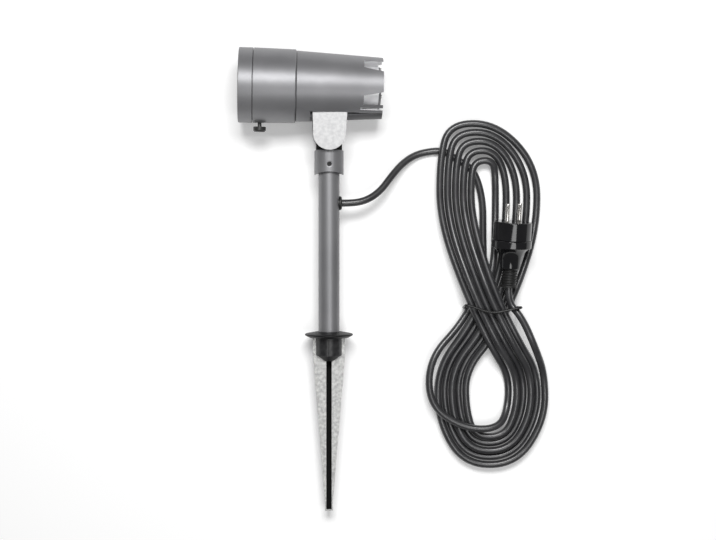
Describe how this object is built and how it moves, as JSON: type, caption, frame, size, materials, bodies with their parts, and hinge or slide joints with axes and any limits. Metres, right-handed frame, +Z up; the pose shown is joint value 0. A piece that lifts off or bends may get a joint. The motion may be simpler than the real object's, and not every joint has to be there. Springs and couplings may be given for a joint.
{
  "type": "garden spike spotlight",
  "caption": "Garden spotlight on a ground spike: round tilting head with front ring, fork, collar, tubular stem, and a rubber cord in a tied figure-eight hank with its plug.",
  "frame": {"origin": "middle of the lamp's outline at floor level, the cord left out; the lamp lies on its side on its three widest rims", "axes": "+Y along the stem from the spike to the head, +Z up from the floor, the head's front towards -X"},
  "size_m": [0.3282, 0.485, 0.0798],
  "materials": {
    "grey_paint": "satin metallic grey powder coat",
    "light_metal": "fine blasted aluminium",
    "black_plastic": "matt black",
    "dark_plastic": "dark grey, slightly glossy",
    "zinc_sheet": "zinc-plated sheet, mottled",
    "clear_glass": "clear flat glass",
    "lamp_glass": "reflector lamp glass with silvered back",
    "brass_cap": "plain",
    "ceramic_white": "white ceramic",
    "white_plastic": "white",
    "wire_jacket": "plain wires",
    "cord_rubber": "dark grey rubber, satin",
    "black_rubber": "black",
    "plug_gloss": "gloss black",
    "nickel": "bright nickel",
    "clip_metal": "spring metal",
    "thumb_paint": "black painted brass",
    "screw_steel": "zinc-plated steel",
    "bush_plastic": "natural nylon"
  },
  "bodies": {
    "stake": {"stem": "grey_paint", "cable_grommet": "black_rubber", "ground_flange": "black_plastic", "ground_socket": "dark_plastic", "ground_spike": "zinc_sheet", "stem_lead": "cord_rubber", "cord_lead": "cord_rubber", "cord_hank": "cord_rubber", "cord_tie": "black_plastic", "plug_body": "plug_gloss", "plug_sleeve": "black_rubber", "plug_pins": "nickel", "plug_earth_clips": "clip_metal"},
    "knuckle": {"knuckle": "grey_paint", "swivel_bush": "bush_plastic", "pivot_bush": "bush_plastic", "friction_washers": "bush_plastic", "grub_screw": "screw_steel", "knuckle_lead": "cord_rubber"},
    "head": {"housing": "grey_paint", "front_sleeve": "grey_paint", "rear_cover": "grey_paint", "ear_front": "light_metal", "ear_rear": "light_metal", "front_glass": "clear_glass", "reflector_lamp": "lamp_glass", "lamp_cap": "brass_cap", "lamp_holder": "ceramic_white", "terminal_block": "white_plastic", "holder_wires": "wire_jacket", "head_lead": "cord_rubber", "head_gland": "black_rubber", "sleeve_seal": "black_rubber", "glass_gasket": "black_rubber", "glass_retainer": "screw_steel", "rear_cover_screws": "screw_steel", "ear_screws": "screw_steel", "holder_screws": "screw_steel", "pivot_bolt": "screw_steel"},
    "ring": {"front_ring": "grey_paint"},
    "thumb": {"thumb_screw": "thumb_paint"}
  },
  "joints": [
    {"name": "head_swivel", "type": "hinge", "parent": "stake", "child": "knuckle", "pos_m": [0.01938, 0.12012, 0.03343], "axis": [0.0009, 0.9994, 0.0358], "range_deg": [-90, 90]},
    {"name": "head_tilt", "type": "hinge", "parent": "knuckle", "child": "head", "pos_m": [0.01941, 0.1526, 0.03459], "axis": [0.0476, -0.0358, 0.9982], "range_deg": [-60, 75]},
    {"name": "front_ring_slide", "type": "slide", "parent": "head", "child": "ring", "axis": [-0.9986, 0.0194, 0.0483], "range_m": [0, 0.012]},
    {"name": "thumb_screw_turn", "type": "hinge", "parent": "head", "child": "thumb", "pos_m": [-0.05284, 0.16109, 0.03834], "axis": [-0.0211, -0.9992, -0.0348], "range_deg": [0, 720]}
  ]
}
